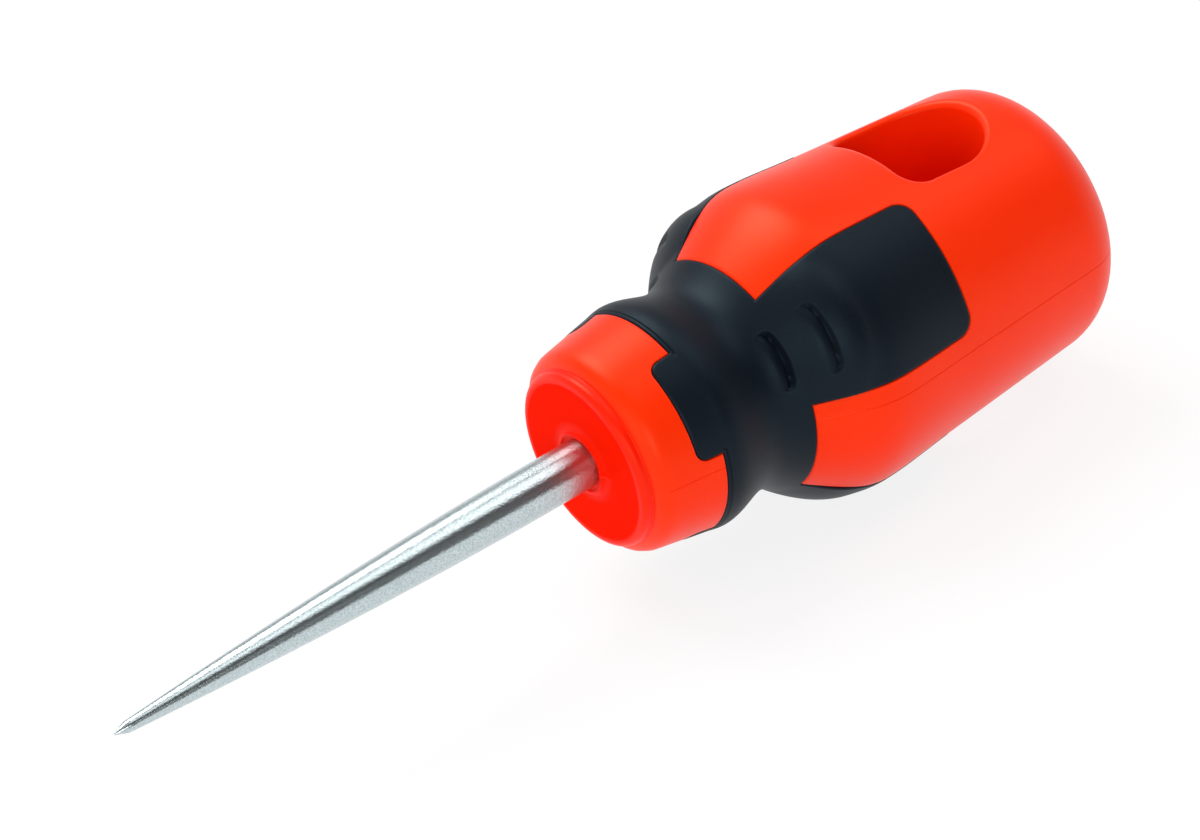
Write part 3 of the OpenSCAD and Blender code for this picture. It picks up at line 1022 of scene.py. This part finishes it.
def moulded_plastic(name, piece, colours, shine_by_radius):
    """Polypropylene from a lightly eroded mould: strong even colour with faint flow mottling, and a broad
    soft highlight that a fine grain breaks up. The shine depends on the distance from the axis, as
    a share of shine_reach."""
    tree = new_material(name, piece.data)
    place = add(tree, "ShaderNodeTexCoord").outputs["Object"]
    mottle = add(tree, "ShaderNodeTexNoise", Vector=place, Scale=1 / (mottle_size * MM), Detail=3.0)
    tint = add(tree, "ShaderNodeValToRGB", Fac=mottle.outputs["Fac"])
    set_stops(tint, {0.0: linear(colours[0]), 1.0: linear(colours[1])})
    roughness = add(tree, "ShaderNodeMapRange", Value=mottle.outputs["Fac"], To_Min=0.33, To_Max=0.41)
    across = add(tree, "ShaderNodeVectorMath", {"operation": "MULTIPLY"}, Vector=place)
    across.inputs[1].default_value = across_the_axis
    off_axis = add(tree, "ShaderNodeVectorMath", {"operation": "LENGTH"}, Vector=across.outputs["Vector"])
    share = add(tree, "ShaderNodeMapRange", Value=off_axis.outputs["Value"], From_Max=shine_reach * MM)
    shine = add(tree, "ShaderNodeValToRGB", Fac=share.outputs["Result"])
    set_stops(shine, {at: grey(level) for at, level in shine_by_radius.items()})
    grain = add(tree, "ShaderNodeTexNoise", Vector=place, Scale=1 / (mould_grain_size * MM), Detail=2.0)
    bump = add(
        tree, "ShaderNodeBump", Strength=0.08, Distance=mould_grain_depth * MM,
        Height=grain.outputs["Fac"],
    )
    shader = add(
        tree, "ShaderNodeBsdfPrincipled", Base_Color=tint.outputs["Color"],
        Roughness=roughness.outputs["Result"], IOR=1.49, Specular_IOR_Level=shine.outputs["Color"],
        Specular_Tint=linear("#ffd69a"), Normal=bump.outputs["Normal"],
    )
    add(tree, "ShaderNodeOutputMaterial", Surface=shader.outputs["BSDF"])


moulded_plastic("moulded_polypropylene_shell", shell, ("#fc2900", "#ff3101"), shell_shine)
moulded_plastic("moulded_polypropylene_core", core, ("#f91600", "#fd1b00"), core_shine)
print("Plastic on", shell.name, "and", core.name)

# %% [markdown]
# ## Black rubber
# The grip is thermoplastic rubber, moulded against a matt steel surface. It is nearly black, so most of
# what the eye sees is its dull highlight, which looks bluish beside the warm orange. A black that is too
# deep would hide the finger grooves, so the colour stays a little above it.

# %% Soft thermoplastic rubber for the grip
# A matt mould's grain would be about 0.05 mm wide. It is drawn coarser, so that it shows.
rubber_grain_size = 0.25
rubber_grain_depth = 0.02


def soft_rubber(name, piece):
    """Thermoplastic rubber from a matt mould: blue-black, dull, with a fine grain and a dusty sheen where
    it turns away from the eye."""
    tree = new_material(name, piece.data)
    place = add(tree, "ShaderNodeTexCoord").outputs["Object"]
    grain = add(tree, "ShaderNodeTexNoise", Vector=place, Scale=1 / (rubber_grain_size * MM), Detail=3.0)
    tint = add(tree, "ShaderNodeValToRGB", Fac=grain.outputs["Fac"])
    set_stops(tint, {0.0: linear("#04050c"), 1.0: linear("#0d111c")})
    bump = add(
        tree, "ShaderNodeBump", Strength=0.2, Distance=rubber_grain_depth * MM,
        Height=grain.outputs["Fac"],
    )
    shader = add(
        tree, "ShaderNodeBsdfPrincipled", Base_Color=tint.outputs["Color"], Roughness=0.48, IOR=1.5,
        Specular_IOR_Level=0.27, Specular_Tint=linear("#b0d8ec"), Normal=bump.outputs["Normal"],
    )
    add(tree, "ShaderNodeOutputMaterial", Surface=shader.outputs["BSDF"])


soft_rubber("moulded_soft_rubber", grip)
print("Rubber on", grip.name)

# %% [markdown]
# ## Plated steel
# The blade is bar steel that was ground round, blasted and plated. The grinding draws its reflections out
# along the bar, so what shows is a few long streaks. An anisotropic highlight gives that, with its
# direction taken from the axis. The blasting leaves fine pits, which break the dark streak into specks.

# %% Satin nickel-plated steel for the blade
# Pits from fine grit would be about 0.05 mm wide. They are drawn coarser, so that they show.
pit_size = 0.2
pit_depth = 0.024


def satin_steel(name, piece):
    """Bar steel, ground round, blasted and nickel-plated: bright, with reflections drawn out along the
    bar and a pitted surface that breaks them into specks."""
    tree = new_material(name, piece.data)
    place = add(tree, "ShaderNodeTexCoord").outputs["Object"]
    pits = add(tree, "ShaderNodeTexNoise", Vector=place, Scale=1 / (pit_size * MM), Detail=2.0)
    tint = add(tree, "ShaderNodeValToRGB", Fac=pits.outputs["Fac"])
    dark, light = linear("#b8c5c8"), linear("#ccd8db")
    set_stops(tint, {0.0: dark, 0.38: dark, 0.62: light, 1.0: light})
    around = add(tree, "ShaderNodeTangent", {"direction_type": "RADIAL", "axis": "X"})
    bump = add(
        tree, "ShaderNodeBump", Strength=0.8, Distance=pit_depth * MM, Height=pits.outputs["Fac"]
    )
    shader = add(
        tree, "ShaderNodeBsdfPrincipled", Base_Color=tint.outputs["Color"], Metallic=1.0, Roughness=0.25,
        Anisotropic=0.8, Anisotropic_Rotation=0.25, Tangent=around.outputs["Tangent"],
        Normal=bump.outputs["Normal"],
    )
    add(tree, "ShaderNodeOutputMaterial", Surface=shader.outputs["BSDF"])


satin_steel("satin_nickel_plated_steel", blade)
print("Steel on", blade.name)

# %% [markdown]
# ## The floor
# The photograph has a plain white ground. The floor lies under the lowest point of the handle. To the
# camera and in reflections most of it simply shines white, and the rest is lit paper, which keeps a faint
# shadow. More light on a paper floor would also turn it white, but would bleach the tool with it.

# %% White floor
floor_half = 2.0
floor_glow = 0.85
floor_z = cad_box[0][2]
floor_mesh = bpy.data.meshes.new("floor")
floor_corners = np.array([[-1, -1], [1, -1], [1, 1], [-1, 1]]) * floor_half
floor_mesh.from_pydata([(x, y, floor_z) for x, y in floor_corners], [], [(0, 1, 2, 3)])
floor = bpy.data.objects.new("floor", floor_mesh)
bpy.context.collection.objects.link(floor)
tree = new_material("white_paper_floor", floor_mesh)
path = add(tree, "ShaderNodeLightPath")
seen = path.outputs["Is Camera Ray"]
for kind_of_ray in ("Is Glossy Ray", "Is Transmission Ray"):
    either = add(tree, "ShaderNodeMath", {"operation": "ADD", "use_clamp": True})
    tree.links.new(seen, either.inputs[0])
    tree.links.new(path.outputs[kind_of_ray], either.inputs[1])
    seen = either.outputs["Value"]
glow_share = add(tree, "ShaderNodeMapRange", Value=seen, To_Max=floor_glow)
glow = add(tree, "ShaderNodeEmission", Strength=1.0)
paper = add(tree, "ShaderNodeBsdfDiffuse", Color=linear("#fafafa"))
mixed = add(tree, "ShaderNodeMixShader", Fac=glow_share.outputs["Result"])
tree.links.new(paper.outputs["BSDF"], mixed.inputs[1])
tree.links.new(glow.outputs["Emission"], mixed.inputs[2])
add(tree, "ShaderNodeOutputMaterial", Surface=mixed.outputs["Shader"])
print("Floor at", round(floor_z, 4), "m")

# %% [markdown]
# ## The studio round the tool
# Steel shows nothing but what stands round it. The world is a light studio, white at the height of the
# floor and greyer above, with one dark side behind the camera and to its right. The blade mirrors that
# side as its dark streak. A picture of a studio could stand in for all this, but ramps over the height
# and over the direction are enough, and each level in them can be set by itself.

# %% World: a light studio with one dark side
sky_levels = {0.0: 1.0, 0.1: 0.9, 0.3: 0.55, 1.0: 0.45}
dark_levels = {0.0: 1.0, 0.02: 1.0, 0.07: 0.06, 1.0: 0.06}
dark_towards = (0.1, -0.95, 0.3)
dark_share = {0.0: 0.0, 0.55: 0.0, 0.83: 1.0, 1.0: 1.0}

world = bpy.data.worlds.new("studio")
bpy.context.scene.world = world
world.use_nodes = True
tree = world.node_tree
tree.nodes.clear()
direction = add(tree, "ShaderNodeTexCoord").outputs["Generated"]
height = add(tree, "ShaderNodeSeparateXYZ", Vector=direction).outputs["Z"]
towards_dark = add(tree, "ShaderNodeVectorMath", {"operation": "DOT_PRODUCT"}, Vector=direction)
towards_dark.inputs[1].default_value = dark_towards
light_side = add(tree, "ShaderNodeValToRGB", Fac=height)
dark_side = add(tree, "ShaderNodeValToRGB", Fac=height)
dark_part = add(tree, "ShaderNodeValToRGB", Fac=towards_dark.outputs["Value"])
for ramp, levels in ((light_side, sky_levels), (dark_side, dark_levels), (dark_part, dark_share)):
    set_stops(ramp, {at: grey(level) for at, level in levels.items()})
studio = add(
    tree, "ShaderNodeMixRGB", Fac=dark_part.outputs["Color"], Color1=light_side.outputs["Color"],
    Color2=dark_side.outputs["Color"],
)
background = add(tree, "ShaderNodeBackground", Color=studio.outputs["Color"], Strength=1.0)
add(tree, "ShaderNodeOutputWorld", Surface=background.outputs["Background"])
print("Light levels by height:", sky_levels, "and on the dark side:", dark_levels)

# %% [markdown]
# ## Lamps
# Four softboxes light the tool: a key light above and behind it for the highlights on top, a wide one
# overhead on the right, a fill light from beside the camera, and a weak one from the left for the rim of
# the disc. Sun lamps would be simpler, but would give hard shadows and small highlights.

# %% Four softboxes
lamps = {
    "key_lamp": ((-20, 320, 555), 380, 3.0),
    "top_lamp": ((360, -160, 700), 500, 1.3),
    "fill_lamp": ((-330, -640, 260), 300, 1.6),
    "side_lamp": ((-640, -200, 220), 300, 0.55),
}


def softbox(name, place, size, watts):
    """A square area lamp at a place in millimetres, aimed at the middle of the tool."""
    data = bpy.data.lights.new(name, "AREA")
    data.size = size * MM
    data.energy = watts
    lamp = bpy.data.objects.new(name, data)
    lamp.location = Vector(place) * MM
    lamp.rotation_mode = "QUATERNION"
    lamp.rotation_quaternion = (lamp.location - camera_aim).to_track_quat("Z", "Y")
    bpy.context.collection.objects.link(lamp)


for name, (place, size, watts) in lamps.items():
    softbox(name, place, size, watts)
    print(name, "at", place, "mm,", size, "mm wide,", watts, "W")
bpy.context.scene.view_settings.view_transform = "Standard"
